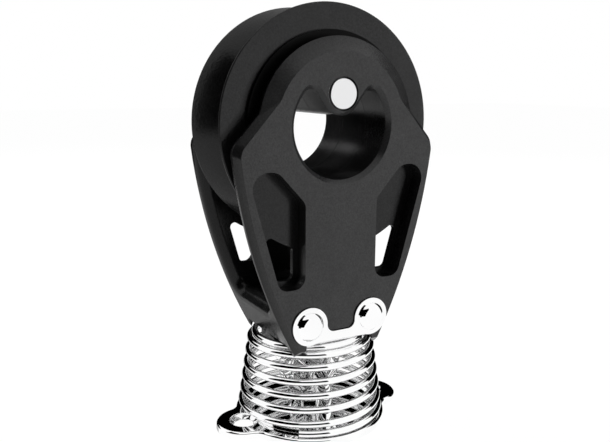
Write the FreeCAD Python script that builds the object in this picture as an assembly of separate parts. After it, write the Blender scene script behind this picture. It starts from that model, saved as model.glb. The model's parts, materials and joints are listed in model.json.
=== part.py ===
import FreeCAD, Part
import math
import os

# A stand-up block for a sailing boat: one sheave between two moulded cheeks, which a coil spring
# holds upright over an eye on the deck. Lengths are in millimetres and +Z is up.
# X runs along the two fixing ears and the plane of the sheave, Y along the axle.
# The origin is the centre of the base plate's underside.

# Base plate, with its two fixing ears
base_thickness = 2.0
flange_radius = 20.9
ear_centre_x = 20.4
ear_radius = 7.5
ear_root_radius = 4.0
screw_hole_radius = 2.7
countersink_radius = 4.0
seat_boss_height = 1.0
seat_boss_clearance = 1.15
plate_edge_chamfer = 0.4

# Stand-up spring
spring_height = 24.2
wire_radius = 0.95
spring_bottom_radius = 19.5
spring_taper = 0.14
spring_turns = 7.2
spring_start_deg = 233.0
closed_turns_bottom = 0.75
closed_turns_top = 1.4
closed_pitch_bottom = 2.05
closed_pitch_top = 1.55
nesting_per_turn = 1.15
spring_top_gap = 0.1
spring_steps_per_turn = 16
wire_sides = 6

# Bail, the bent bar welded to the base plate, and the shackle that hangs in it
bail_bar_radius = 2.4
bail_leg_y = 8.2
bail_bend_radius = 5.0
shackle_bar_radius = 2.4
shackle_leg_x = 7.0
shackle_floor_gap = 3.3
shackle_eye_radius = 4.0
shackle_pin_radius = 2.0
shackle_pin_head_radius = 3.0
shackle_pin_head_length = 1.0
shackle_pin_tail = 0.9
link_clearance = 0.06
bar_sides = 12
bend_steps = 5

# Swivel post, its washers and nut
lug_radius = 4.1
lug_crown = 0.7
lug_side_clearance = 0.15
post_shoulder_length = 1.6
post_radius = 3.0
washer_radius = 5.9
washer_thickness = 0.8
nut_across_flats = 9.4
nut_height = 3.9
stack_clearance = 0.05
running_clearance = 0.06

# Sheave, hub and bearing
sheave_radius = 30.0
sheave_half_width = 9.4
rim_chamfer = 0.3
groove_bottom_radius = 23.6
groove_arc_radius = 5.0
groove_facets = 5
race_radius = 17.0
collar_step = 0.1
collar_end_y = 5.7
roller_radius = 2.2
roller_half_length = 4.7
roller_count = 12
roller_clearance = 0.05
cage_wall = 1.8
cage_half_length = 5.5
cage_pocket_clearance = 0.12
thrust_ring_outer = 23.4
thrust_ring_clearance = 0.06

# Cheeks
axle_above_strap = 55.6
sheave_side_gap = 1.1
cheek_wall = 5.5
bevel_depth = 2.0
hood_radius = 21.7
hood_bevel = 3.6
shoulder_half_width = 28.85
shoulder_below_axle = 4.6
shoulder_bevel = 1.5
shoulder_corner_radius = 4.0
neck_depth = 3.3
neck_radius = 5.0
side_bulge = 2.8
side_bevel = 1.3
throat_round = 3.0
tip_half_width = 12.0
tip_drop = 3.0
tip_spring_clearance = 0.1
pad_height = 9.2
pad_corner_radius = 3.0
nut_room_clearance = 0.3
nut_headroom = 1.0
skirt_depth = 3.9
skirt_spring_clearance = 0.25
skirt_link_clearance = 0.25

# Opening through the cheeks and the hub, with the boss that holds the load pin
bore_radius = 13.2
bore_lip = 1.1
boss_radius = 5.3
boss_flank_deg = 52.6
boss_notch_radius = 2.0
pin_offset = 7.9
pin_radius = 3.7
pin_ring_gap = 0.45
pin_ring_depth = 1.2
fixed_clearance = 0.04

# Pockets beside the opening, each with a window at its lower end
pocket_inner_x = 10.4
pocket_low_x = 17.4
pocket_high_x = 25.8
pocket_top_x = 17.9
pocket_above_pad = 5.0
pocket_below_axle = 10.2
pocket_bend_below_axle = 18.4
pocket_corner_radius = 3.0
pocket_top_radius = 4.0
pocket_floor_wall = 1.3
window_inset = 1.4
window_arc_radius = 32.3
window_corner_radius = 1.2

# Strap, the folded steel plate under the cheeks
strap_thickness = 1.6
strap_proud = 0.5
strap_bend_radius = 2.2
strap_half_width = 9.6
strap_corner_chamfer = 0.8
strap_recess_clearance = 0.15
lobe_radius = 5.0
strap_rivet_x = 9.1
strap_rivet_rise = 5.7
strap_notch_half_width = 4.1
strap_notch_rise = 3.5
strap_notch_corner = 2.0

# Rivets through the strap and both cheeks
rivet_radius = 2.5
rivet_head_radius = 3.7
rivet_head_height = 1.3
rivet_head_flat = 2.7

# Heights that follow from the sizes above
boss_top = base_thickness + seat_boss_height
strap_underside = base_thickness + spring_height
strap_floor = strap_underside + strap_thickness
strap_rivet_height = strap_underside + strap_rivet_rise
strap_notch_height = strap_underside + strap_notch_rise
axle_height = strap_underside + axle_above_strap
boss_height = axle_height + pin_offset
shoulder_height = axle_height - shoulder_below_axle
tip_height = strap_underside - tip_drop
pad_top = strap_floor + pad_height
shackle_bottom = base_thickness + shackle_floor_gap
bail_top = shackle_bottom + 2 * shackle_bar_radius + link_clearance + 2 * bail_bar_radius
bail_axis_height = bail_top - bail_bar_radius
post_shoulder_top = strap_underside - washer_thickness - 2 * stack_clearance
shackle_pin_height = post_shoulder_top - lug_crown - lug_radius
nut_low = strap_floor + washer_thickness + 2 * stack_clearance
nut_room_top = nut_low + nut_height + nut_headroom
pocket_low = pad_top + pocket_above_pad
pocket_bend = axle_height - pocket_bend_below_axle
pocket_top = axle_height - pocket_below_axle

# Widths and radii that follow from the sizes above
cheek_inner_y = sheave_half_width + sheave_side_gap
cheek_face_y = cheek_inner_y + cheek_wall
pocket_floor_y = cheek_inner_y + pocket_floor_wall
strap_face_y = cheek_face_y + strap_proud
collar_radius = race_radius - collar_step
sheave_bore = race_radius + 2 * roller_radius + 2 * roller_clearance
roller_orbit = race_radius + roller_radius + roller_clearance
shackle_eye_inner = shackle_leg_x - shackle_bar_radius
shackle_eye_outer = shackle_leg_x + shackle_bar_radius
seat_boss_radius = spring_bottom_radius - wire_radius - seat_boss_clearance
nut_room_radius = washer_radius + nut_room_clearance
tip_spring_radius = spring_bottom_radius - spring_taper * (tip_height - base_thickness - wire_radius)
tip_inner_radius = tip_spring_radius + wire_radius + tip_spring_clearance
skirt_low = strap_underside - skirt_depth
spring_end_radius = (spring_bottom_radius - spring_taper * (spring_height - 2 * wire_radius)
                     - nesting_per_turn * closed_turns_top)
skirt_radius = spring_end_radius - wire_radius - skirt_spring_clearance
skirt_inner_radius = math.hypot(shackle_eye_outer + shackle_pin_head_length,
                                shackle_pin_head_radius) + skirt_link_clearance
heel_x = strap_half_width + 2 * strap_recess_clearance
overcut = 1.0

x_axis = FreeCAD.Vector(1, 0, 0)
y_axis = FreeCAD.Vector(0, 1, 0)
z_axis = FreeCAD.Vector(0, 0, 1)
axle = FreeCAD.Vector(0, 0, axle_height)


def vec(x, y, z):
    return FreeCAD.Vector(x, y, z)


def cylinder_y(radius, y_from, y_to, x=0.0, z=0.0):
    return Part.makeCylinder(radius, y_to - y_from, vec(x, y_from, z), y_axis)


def cylinder_z(radius, z_from, z_to, x=0.0, y=0.0):
    return Part.makeCylinder(radius, z_to - z_from, vec(x, y, z_from), z_axis)


def box(low, high):
    size = high - low
    return Part.makeBox(size.x, size.y, size.z, low)


def extrude_y(wire, y_from, y_to):
    """A solid from a closed outline drawn at y = 0."""
    solid = Part.Face(wire).extrude(vec(0, y_to - y_from, 0))
    solid.translate(vec(0, y_from, 0))
    return solid


def rounded_outline(corners, radii):
    """A closed outline in the plane y = 0, with an arc at each corner."""
    count = len(corners)
    points = [vec(x, 0, z) for x, z in corners]
    ends = []
    for index, corner in enumerate(points):
        back = (points[index - 1] - corner).normalize()
        ahead = (points[(index + 1) % count] - corner).normalize()
        half = back.getAngle(ahead) / 2
        reach = radii[index] / math.tan(half)
        middle = (back + ahead).normalize() * (radii[index] / math.sin(half) - radii[index])
        ends.append((corner + back * reach, corner + middle, corner + ahead * reach))
    edges = []
    for index, (start, middle, end) in enumerate(ends):
        if radii[index] > 0:
            edges.append(Part.Arc(start, middle, end).toShape())
        following = ends[(index + 1) % count][0]
        if (following - end).Length > 1e-6:
            edges.append(Part.LineSegment(end, following).toShape())
    return Part.Wire(edges)


def bent_bar(path, radius, sides):
    """A bar through the stations of a path, each a centre, its direction and its outward side."""
    sections = []
    for centre, ahead, out in path:
        across = ahead.cross(out).normalize()
        outward = across.cross(ahead).normalize()
        angles = [2 * math.pi * (side % sides) / sides for side in range(sides + 1)]
        sections.append(Part.makePolygon([
            centre + outward * (radius * math.cos(angle)) + across * (radius * math.sin(angle))
            for angle in angles]))
    return Part.makeLoft(sections, True, True)


def bend(centre, radius, side, up, start_deg, end_deg):
    """Stations round a bend in the plane of side and up, its angles counted from side."""
    steps = round(bend_steps * abs(end_deg - start_deg) / 90)
    stations = []
    for step in range(steps + 1):
        angle = math.radians(start_deg + (end_deg - start_deg) * step / steps)
        out = side * math.cos(angle) + up * math.sin(angle)
        turn = 1 if end_deg > start_deg else -1
        ahead = (up * math.cos(angle) - side * math.sin(angle)) * turn
        stations.append((centre + out * radius, ahead, out))
    return stations


def crossing(normal, offset, centre, radius):
    """The lower of the two points where the line normal.p = offset meets a circle."""
    distance = offset - normal.dot(centre)
    foot = centre + normal * distance
    along = vec(-normal.z, 0, normal.x)
    reach = math.sqrt(radius * radius - distance * distance)
    return min(foot + along * reach, foot - along * reach, key=lambda point: point.z)


def side_circle():
    """Centre and radius of the arc that runs down each side of a cheek."""
    top = vec(shoulder_half_width, 0, shoulder_height)
    tip = vec(tip_half_width, 0, tip_height)
    chord = top - tip
    radius = chord.Length ** 2 / (8 * side_bulge) + side_bulge / 2
    inward = vec(-chord.z, 0, chord.x).normalize()
    return (top + tip) * 0.5 + inward * (radius - side_bulge), radius


def arc_about(centre, radius, start, end):
    """The short arc between two points of a circle in a plane of constant y."""
    middle = ((start + end) * 0.5 - centre).normalize() * radius + centre
    return Part.Arc(start, middle, end)


def shoulder_normal():
    """Direction square to the straight shoulder, which ends inside the hood's circle."""
    out = vec(shoulder_half_width, 0, shoulder_height) - axle
    angle = math.atan2(out.z, out.x) + math.acos((hood_radius - neck_depth) / out.Length)
    return vec(math.cos(angle), 0, math.sin(angle))


def cheek_outline(y, hood_inset=0.0, shoulder_inset=0.0, side_inset=0.0):
    """Outline of a cheek seen along the axle, each stretch set in by its own amount."""
    hood = hood_radius - hood_inset
    normal = shoulder_normal()
    corner = vec(shoulder_half_width, 0, shoulder_height)
    offset = normal.dot(corner) - shoulder_inset
    side_centre, side_radius = side_circle()
    side_radius -= side_inset
    neck_centre = crossing(normal, offset + neck_radius, axle, hood + neck_radius)
    round_centre = crossing(normal, offset - shoulder_corner_radius, side_centre,
                            side_radius - shoulder_corner_radius)
    hood_end = axle + (neck_centre - axle).normalize() * hood
    line_start = neck_centre - normal * neck_radius
    line_end = round_centre + normal * shoulder_corner_radius
    side_start = side_centre + (round_centre - side_centre).normalize() * side_radius
    tip_reach = math.sqrt(side_radius ** 2 - (tip_height - side_centre.z) ** 2)
    tip = vec(side_centre.x + tip_reach, 0, tip_height)
    heel = vec(heel_x, 0, strap_underside)
    ledge = vec(heel.x, 0, strap_floor)
    top = vec(0, 0, axle_height + hood)
    curves = [
        arc_about(axle, hood, top, hood_end),
        arc_about(neck_centre, neck_radius, hood_end, line_start),
        Part.LineSegment(line_start, line_end),
        arc_about(round_centre, shoulder_corner_radius, line_end, side_start),
        arc_about(side_centre, side_radius, side_start, tip),
        Part.LineSegment(tip, heel),
        Part.LineSegment(heel, ledge),
        Part.LineSegment(ledge, vec(0, 0, strap_floor)),
    ]
    right = [curve.toShape() for curve in curves]
    left = [edge.mirror(vec(0, 0, 0), x_axis) for edge in right]
    wire = Part.Wire(Part.__sortEdges__(right + left))
    wire.translate(vec(0, y, 0))
    return wire


def opening_solid(y_from, y_to):
    """The round opening through the cheeks and hub, less the boss that hangs into it."""
    flank = math.radians(boss_flank_deg)
    along = vec(math.cos(flank), 0, math.sin(flank))
    across = vec(math.sin(flank), 0, -math.cos(flank))
    boss = vec(0, 0, boss_height)
    foot = boss + across * boss_radius
    far = foot + along * (2 * bore_radius)
    wedge = Part.makePolygon([foot, far, vec(-far.x, 0, far.z), vec(-foot.x, 0, foot.z), foot])
    disc = cylinder_y(bore_radius, y_from, y_to, 0, axle_height)
    hanging = extrude_y(wedge, y_from, y_to).fuse(cylinder_y(boss_radius, y_from, y_to, 0, boss_height))
    opening = disc.cut(hanging).removeSplitter()
    corners = [edge for edge in opening.Edges if is_corner_at(edge, bore_radius)]
    return opening.makeFillet(boss_notch_radius, corners)


def is_corner_at(edge, radius):
    """True for a sharp corner that runs along Y, off the middle, on a circle about the axle."""
    runs_along_axle = abs(edge.tangentAt(edge.FirstParameter).y) > 0.99
    centre = edge.CenterOfMass
    reach = math.hypot(centre.x, centre.z - axle_height)
    return runs_along_axle and abs(reach - radius) < 0.01 and abs(centre.x) > 1.0


def is_opening_rim(edge):
    """True for the edges of the round opening that lie in the near cheek's face."""
    span = edge.BoundBox
    in_face = max(abs(span.YMin + cheek_face_y), abs(span.YMax + cheek_face_y)) < 1e-4
    centre = edge.CenterOfMass
    inside = math.hypot(centre.x, centre.z - axle_height) < bore_radius + 0.1
    around_pin = math.hypot(centre.x, centre.z - boss_height) < 0.1
    return in_face and inside and not around_pin


def is_throat_edge(edge):
    """True for the inner edges of a cheek's sides and of the pad's top, which the line may touch."""
    span = edge.BoundBox
    below_corner = span.ZMax < shoulder_height and span.ZMin > pad_top - 0.1
    in_wall = span.YMin > -cheek_inner_y - 1e-4 and span.YMin < -1e-4
    on_side = span.YMax < -cheek_inner_y + pad_corner_radius + 1e-4 or span.ZMax < pad_top + 1e-4
    return below_corner and in_wall and on_side and abs(edge.CenterOfMass.x) > pocket_inner_x


def pocket_cuts():
    """One pocket with its window, on the +X side of the cheek at -Y."""
    corners = [(pocket_inner_x, pocket_low), (pocket_low_x, pocket_low), (pocket_high_x, pocket_top),
               (pocket_top_x, pocket_top), (pocket_inner_x, pocket_bend)]
    radii = [pocket_corner_radius, pocket_corner_radius, pocket_top_radius, pocket_top_radius,
             pocket_corner_radius]
    outline = rounded_outline(corners, radii)
    pocket = extrude_y(outline, -cheek_face_y - overcut, -pocket_floor_y)
    inner = outline.makeOffset2D(-window_inset)
    window = extrude_y(inner, -cheek_face_y, -cheek_inner_y + overcut)
    keep = cylinder_y(window_arc_radius, -cheek_face_y - overcut, 0, 0, axle_height)
    window = window.cut(keep)
    sharp = [edge for edge in window.Edges if is_corner_at(edge, window_arc_radius)]
    return pocket.fuse(window.makeFillet(window_corner_radius, sharp))


def strap_outline(grow=0.0):
    """Side view of the strap, a web with a round lobe at each rivet."""
    left = cylinder_y(lobe_radius + grow, -1, 1, -strap_rivet_x, strap_rivet_height)
    right = cylinder_y(lobe_radius + grow, -1, 1, strap_rivet_x, strap_rivet_height)
    half = strap_half_width + grow
    web = box(vec(-half, -1, strap_underside - grow), vec(half, 1, strap_rivet_height))
    half_notch = strap_notch_half_width - grow
    notch_top = strap_rivet_height + 2 * lobe_radius
    corners = [(-half_notch, strap_notch_height + grow), (half_notch, strap_notch_height + grow),
               (half_notch, notch_top), (-half_notch, notch_top)]
    radii = [strap_notch_corner, strap_notch_corner, 0, 0]
    notch = extrude_y(rounded_outline(corners, radii), -2, 2)
    solid = left.fuse([right, web]).cut(notch).removeSplitter()
    face = [f for f in solid.Faces if abs(f.CenterOfMass.y + 1) < 1e-6 and abs(f.normalAt(0, 0).y) > 0.99][0]
    wire = face.OuterWire
    wire.translate(vec(0, 1, 0))
    return wire


def make_skirt():
    """The pad's lower end on the +X side, which fits inside the spring's top coil."""
    side_centre, side_radius = side_circle()
    block = box(vec(heel_x, -skirt_radius, skirt_low), vec(shoulder_half_width, 0, strap_floor))
    block = block.common(cylinder_y(side_radius, -skirt_radius, 0, side_centre.x, side_centre.z))
    block = block.common(cylinder_z(skirt_radius, skirt_low, strap_floor))
    return block.cut(cylinder_z(skirt_inner_radius, skirt_low - overcut, strap_floor + overcut))


def make_near_cheek():
    """One moulded cheek: a hood with a bevelled rim, a collar for the hub and a thick lower pad."""
    body = extrude_y(cheek_outline(0.0), -cheek_face_y + bevel_depth, 0)
    edge_outline = cheek_outline(-cheek_face_y + bevel_depth)
    face_outline = cheek_outline(-cheek_face_y, hood_bevel, shoulder_bevel, side_bevel)
    body = body.fuse(Part.makeLoft([edge_outline, face_outline], True, True))

    wide = 2 * shoulder_half_width
    high = axle_height + 2 * hood_radius
    profile = [vec(0, -cheek_inner_y, pad_top), vec(0, -cheek_inner_y, high), vec(0, overcut, high),
               vec(0, overcut, pad_top), vec(0, -cheek_inner_y, pad_top)]
    room = Part.Face(Part.makePolygon(profile)).extrude(vec(wide, 0, 0))
    room.translate(vec(-wide / 2, 0, 0))
    inner_edge = [edge for edge in room.Edges
                  if abs(edge.CenterOfMass.y + cheek_inner_y) < 1e-6 and abs(edge.CenterOfMass.z - pad_top) < 1e-6]
    body = body.cut(room.makeFillet(pad_corner_radius, inner_edge)).removeSplitter()
    body = body.makeFillet(throat_round, [edge for edge in body.Edges if is_throat_edge(edge)])

    body = body.fuse(cylinder_y(collar_radius, -cheek_inner_y, -collar_end_y, 0, axle_height))
    body = body.cut(opening_solid(-cheek_face_y - overcut, overcut))
    body = body.makeChamfer(bore_lip, [edge for edge in body.Edges if is_opening_rim(edge)])
    body = body.cut(cylinder_y(pin_radius + fixed_clearance, -cheek_face_y - overcut, 0, 0, boss_height))
    ring_floor = -cheek_face_y + pin_ring_depth
    ring_radius = pin_radius + pin_ring_gap
    body = body.cut(cylinder_y(ring_radius, -cheek_face_y - overcut, ring_floor, 0, boss_height))

    pocket = pocket_cuts()
    body = body.cut([pocket, pocket.mirror(vec(0, 0, 0), x_axis)])

    recess = extrude_y(strap_outline(strap_recess_clearance), -cheek_face_y - overcut,
                       -strap_face_y + strap_thickness)
    body = body.cut(recess)
    for side in (-1, 1):
        x = side * strap_rivet_x
        body = body.cut(cylinder_y(rivet_radius + fixed_clearance, -cheek_face_y - overcut, overcut,
                                   x, strap_rivet_height))

    body = body.cut(cylinder_z(nut_room_radius, strap_floor - overcut, nut_room_top))
    body = body.cut(cylinder_z(tip_inner_radius, tip_height - overcut, strap_underside))
    tip_edge_y = math.sqrt(tip_inner_radius ** 2 - tip_half_width ** 2)
    below = Part.makePolygon([
        vec(0, -tip_edge_y, tip_height), vec(0, -cheek_face_y - overcut, strap_underside),
        vec(0, -cheek_face_y - overcut, tip_height - overcut), vec(0, -tip_edge_y, tip_height - overcut),
        vec(0, -tip_edge_y, tip_height)])
    below = Part.Face(below).extrude(vec(2 * shoulder_half_width, 0, 0))
    below.translate(vec(-shoulder_half_width, 0, 0))
    body = body.cut(below)
    skirt = make_skirt()
    body = body.fuse([skirt, skirt.mirror(vec(0, 0, 0), x_axis)])
    fold_y = -strap_face_y + strap_thickness
    chamfer = Part.makePolygon([
        vec(0, fold_y - overcut, strap_floor - overcut),
        vec(0, fold_y + strap_corner_chamfer + overcut, strap_floor - overcut),
        vec(0, fold_y - overcut, strap_floor + strap_corner_chamfer + overcut),
        vec(0, fold_y - overcut, strap_floor - overcut)])
    chamfer = Part.Face(chamfer).extrude(vec(2 * strap_half_width, 0, 0))
    chamfer.translate(vec(-strap_half_width, 0, 0))
    body = body.cut(chamfer)
    return body.removeSplitter()


def make_far_cheek():
    """The second cheek is the same moulding turned half round."""
    cheek = make_near_cheek()
    cheek.rotate(vec(0, 0, 0), z_axis, 180)
    return cheek


def make_hub():
    """Inner race between the two collars, with the boss for the load pin."""
    end = collar_end_y - stack_clearance
    hub = cylinder_y(race_radius, -end, end, 0, axle_height)
    hub = hub.cut(opening_solid(-end - overcut, end + overcut))
    return hub.cut(cylinder_y(pin_radius + fixed_clearance, -end - overcut, end + overcut, 0, boss_height))


def make_load_pin():
    end = cheek_face_y
    return cylinder_y(pin_radius, -end, end, 0, boss_height)


def make_sheave():
    """A grooved wheel, turned about the axle."""
    lip_y = sheave_half_width - rim_chamfer
    across = lip_y
    down = sheave_radius - groove_bottom_radius - groove_arc_radius
    turn = math.atan2(down, across) + math.asin(groove_arc_radius / math.hypot(across, down))
    right = [(sheave_bore, sheave_half_width), (sheave_radius - rim_chamfer, sheave_half_width),
             (sheave_radius, lip_y)]
    groove = []
    for index in range(groove_facets + 1):
        angle = turn * (1 - 2 * index / groove_facets)
        r = groove_bottom_radius + groove_arc_radius * (1 - math.cos(angle))
        groove.append((r, groove_arc_radius * math.sin(angle)))
    left = [(r, -y) for r, y in reversed(right)]
    outline = right + groove + left + right[:1]
    profile = Part.makePolygon([axle + vec(0, y, r) for r, y in outline])
    return Part.Face(profile).revolve(axle, y_axis, 360)


def around_axle(shape, index):
    copy = shape.copy()
    copy.rotate(axle, y_axis, index * 360 / roller_count)
    return copy


def make_rollers():
    """The ring of bearing rollers, separate solids in one node."""
    roller = cylinder_y(roller_radius, -roller_half_length, roller_half_length, 0, axle_height + roller_orbit)
    return Part.makeCompound([around_axle(roller, index) for index in range(roller_count)])


def make_roller_cage():
    """A thin ring that keeps the rollers apart."""
    inner = roller_orbit - cage_wall / 2
    cage = cylinder_y(inner + cage_wall, -cage_half_length, cage_half_length, 0, axle_height)
    cage = cage.cut(cylinder_y(inner, -cage_half_length, cage_half_length, 0, axle_height))
    half = roller_radius + cage_pocket_clearance
    end = roller_half_length + cage_pocket_clearance
    slot = box(vec(-half, -end, axle_height + race_radius), vec(half, end, axle_height + sheave_bore))
    return cage.cut([around_axle(slot, index) for index in range(roller_count)])


def make_thrust_ring(side):
    """A flat ring between the sheave and one cheek."""
    near = sheave_half_width + thrust_ring_clearance
    far = cheek_inner_y - thrust_ring_clearance
    low, high = (near, far) if side > 0 else (-far, -near)
    ring = cylinder_y(thrust_ring_outer, low, high, 0, axle_height)
    return ring.cut(cylinder_y(race_radius, low, high, 0, axle_height))


def make_strap():
    """Steel plate folded to a U under the cheeks, with a hole for the swivel post."""
    wide = 2 * (strap_rivet_x + lobe_radius)
    high = strap_rivet_height + 2 * lobe_radius

    def channel(inset, radius):
        half = strap_face_y - inset
        low = strap_underside + inset
        block = box(vec(-wide, -half, low), vec(wide, half, high))
        edges = [edge for edge in block.Edges
                 if abs(edge.CenterOfMass.z - low) < 1e-6 and abs(abs(edge.CenterOfMass.y) - half) < 1e-6]
        return block.makeFillet(radius, edges)

    shell = channel(0, strap_bend_radius).cut(channel(strap_thickness, strap_bend_radius - strap_thickness))
    web = box(vec(-strap_half_width, -wide, 0), vec(strap_half_width, wide, high))
    strap = shell.common(extrude_y(strap_outline(), -2 * strap_face_y, 2 * strap_face_y)).common(web)
    for side in (-1, 1):
        inner, outer = sorted([side * strap_face_y, side * (strap_face_y - strap_thickness)])
        for x in (-strap_rivet_x, strap_rivet_x):
            strap = strap.fuse(cylinder_y(lobe_radius, inner, outer, x, strap_rivet_height))
    strap = strap.cut(cylinder_z(post_radius + running_clearance, strap_underside - 1, strap_floor + 1))
    for side in (-1, 1):
        strap = strap.cut(cylinder_y(rivet_radius + fixed_clearance, -2 * strap_face_y, 2 * strap_face_y,
                                     side * strap_rivet_x, strap_rivet_height))
    return strap.removeSplitter()


def make_rivet(side):
    """A rivet through the strap and both cheeks, with the same bevelled head at each end."""
    seat = strap_face_y
    crown = strap_face_y + rivet_head_height
    outline = [(0, -crown), (rivet_head_flat, -crown), (rivet_head_radius, -seat), (rivet_radius, -seat),
               (rivet_radius, seat), (rivet_head_radius, seat), (rivet_head_flat, crown), (0, crown),
               (0, -crown)]
    centre = vec(side * strap_rivet_x, 0, strap_rivet_height)
    profile = Part.makePolygon([centre + vec(r, y, 0) for r, y in outline])
    return Part.Face(profile).revolve(centre, y_axis, 360)


def make_swivel_post():
    """Lug on the shackle pin, a shoulder under the strap and a stem up through it."""
    half = shackle_eye_inner - lug_side_clearance
    shoulder_low = post_shoulder_top - post_shoulder_length
    lug = Part.makeCylinder(lug_radius, 2 * half, vec(-half, 0, shackle_pin_height), x_axis)
    neck = box(vec(-half, -lug_radius, shackle_pin_height), vec(half, lug_radius, shoulder_low))
    shoulder = cylinder_z(half, shoulder_low, post_shoulder_top)
    stem = cylinder_z(post_radius, post_shoulder_top, nut_low + nut_height)
    post = lug.fuse([neck, shoulder, stem])
    pin_hole = Part.makeCylinder(shackle_pin_radius + running_clearance, 4 * half,
                                 vec(-2 * half, 0, shackle_pin_height), x_axis)
    return post.cut(pin_hole).removeSplitter()


def make_swivel_washer(low):
    hole = post_radius + running_clearance
    washer = cylinder_z(washer_radius, low, low + washer_thickness)
    return washer.cut(cylinder_z(hole, low, low + washer_thickness))


def make_swivel_nut():
    """Hexagon nut on the end of the swivel post, in the room between the pads."""
    corner = nut_across_flats / 2 / math.cos(math.pi / 6)
    angles = [side * math.pi / 3 for side in range(7)]
    points = [vec(corner * math.cos(angle), corner * math.sin(angle), nut_low) for angle in angles]
    nut = Part.Face(Part.makePolygon(points)).extrude(vec(0, 0, nut_height))
    return nut.cut(cylinder_z(post_radius, nut_low - overcut, nut_low + nut_height + overcut))


def make_shackle_bow():
    """A bar bent to a U that hangs in the bail, with an eye at each end for the pin."""
    turn = vec(0, 0, shackle_bottom + shackle_bar_radius + shackle_leg_x)
    left = vec(-shackle_leg_x, 0, shackle_pin_height)
    right = vec(shackle_leg_x, 0, shackle_pin_height)
    path = [(left, -z_axis, -x_axis)]
    path += bend(turn, shackle_leg_x, x_axis, z_axis, -180, 0)
    path.append((right, z_axis, x_axis))
    bow = bent_bar(path, shackle_bar_radius, bar_sides)
    width = 2 * shackle_bar_radius
    for x in (-shackle_eye_outer, shackle_eye_inner):
        bow = bow.fuse(Part.makeCylinder(shackle_eye_radius, width, vec(x, 0, shackle_pin_height), x_axis))
    hole = Part.makeCylinder(shackle_pin_radius + fixed_clearance, 4 * shackle_eye_outer,
                             vec(-2 * shackle_eye_outer, 0, shackle_pin_height), x_axis)
    return bow.cut(hole).removeSplitter()


def make_shackle_pin():
    """Clevis pin with a round head on one side of the shackle."""
    head_x = -shackle_eye_outer - shackle_pin_head_length
    length = 2 * shackle_eye_outer + shackle_pin_head_length + shackle_pin_tail
    pin = Part.makeCylinder(shackle_pin_radius, length, vec(head_x, 0, shackle_pin_height), x_axis)
    head = Part.makeCylinder(shackle_pin_head_radius, shackle_pin_head_length,
                             vec(head_x, 0, shackle_pin_height), x_axis)
    return pin.fuse(head).removeSplitter()


def make_spring():
    """Conical spring with closed ends, a ruled skin over an even-sided wire section."""
    open_turns = spring_turns - closed_turns_bottom - closed_turns_top
    start = base_thickness + wire_radius
    end = strap_underside - spring_top_gap - wire_radius
    closed_rise = closed_turns_bottom * closed_pitch_bottom + closed_turns_top * closed_pitch_top
    open_pitch = (end - start - closed_rise) / open_turns
    steps = round(spring_turns * spring_steps_per_turn)
    step = spring_turns / steps

    def rise(turn):
        first = min(turn, closed_turns_bottom)
        middle = min(max(turn - closed_turns_bottom, 0), open_turns)
        last = max(turn - closed_turns_bottom - open_turns, 0)
        return first * closed_pitch_bottom + middle * open_pitch + last * closed_pitch_top

    def centre(turn):
        height = start + rise(turn)
        nested = max(turn - spring_turns + closed_turns_top, 0) * nesting_per_turn
        radius = spring_bottom_radius - spring_taper * (height - start) - nested
        angle = math.radians(spring_start_deg) + 2 * math.pi * turn
        return vec(radius * math.cos(angle), radius * math.sin(angle), height)

    path = []
    for index in range(steps + 1):
        turn = index * step
        here = centre(turn)
        ahead = (centre(turn + step / 4) - centre(turn - step / 4)).normalize()
        path.append((here, ahead, vec(here.x, here.y, 0).normalize()))
    return bent_bar(path, wire_radius, wire_sides)


def make_base_plate():
    """Polished deck plate with two countersunk ears and a low boss that centres the spring."""
    plate = cylinder_z(flange_radius, 0, base_thickness)
    for side in (-1, 1):
        plate = plate.fuse(cylinder_z(ear_radius, 0, base_thickness, side * ear_centre_x))
    plate = plate.removeSplitter()
    corners = [edge for edge in plate.Edges if abs(edge.tangentAt(edge.FirstParameter).z) > 0.99
               and abs(edge.CenterOfMass.y) > 1.0]
    plate = plate.makeFillet(ear_root_radius, corners)
    rim = [edge for edge in plate.Edges if abs(edge.BoundBox.ZMin - base_thickness) < 1e-6
           and abs(edge.BoundBox.ZMax - base_thickness) < 1e-6]
    plate = plate.makeChamfer(plate_edge_chamfer, rim)
    plate = plate.fuse(cylinder_z(seat_boss_radius, 0, boss_top)).removeSplitter()
    sink = countersink_radius - screw_hole_radius
    for side in (-1, 1):
        x = side * ear_centre_x
        plate = plate.cut(cylinder_z(screw_hole_radius, -overcut, base_thickness + overcut, x))
        plate = plate.cut(Part.makeCone(screw_hole_radius, countersink_radius, sink,
                                        vec(x, 0, base_thickness - sink), z_axis))
    return plate


def make_bail():
    """Bent bar that stands on the plate's boss, and which the shackle hangs in."""
    level = bail_axis_height - bail_bend_radius
    inner = bail_leg_y - bail_bend_radius
    path = [(vec(0, -bail_leg_y, boss_top), z_axis, -y_axis)]
    path += bend(vec(0, -inner, level), bail_bend_radius, y_axis, z_axis, 180, 90)
    path += bend(vec(0, inner, level), bail_bend_radius, y_axis, z_axis, 90, 0)
    path.append((vec(0, bail_leg_y, boss_top), -z_axis, y_axis))
    return bent_bar(path, bail_bar_radius, bar_sides)


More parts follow.
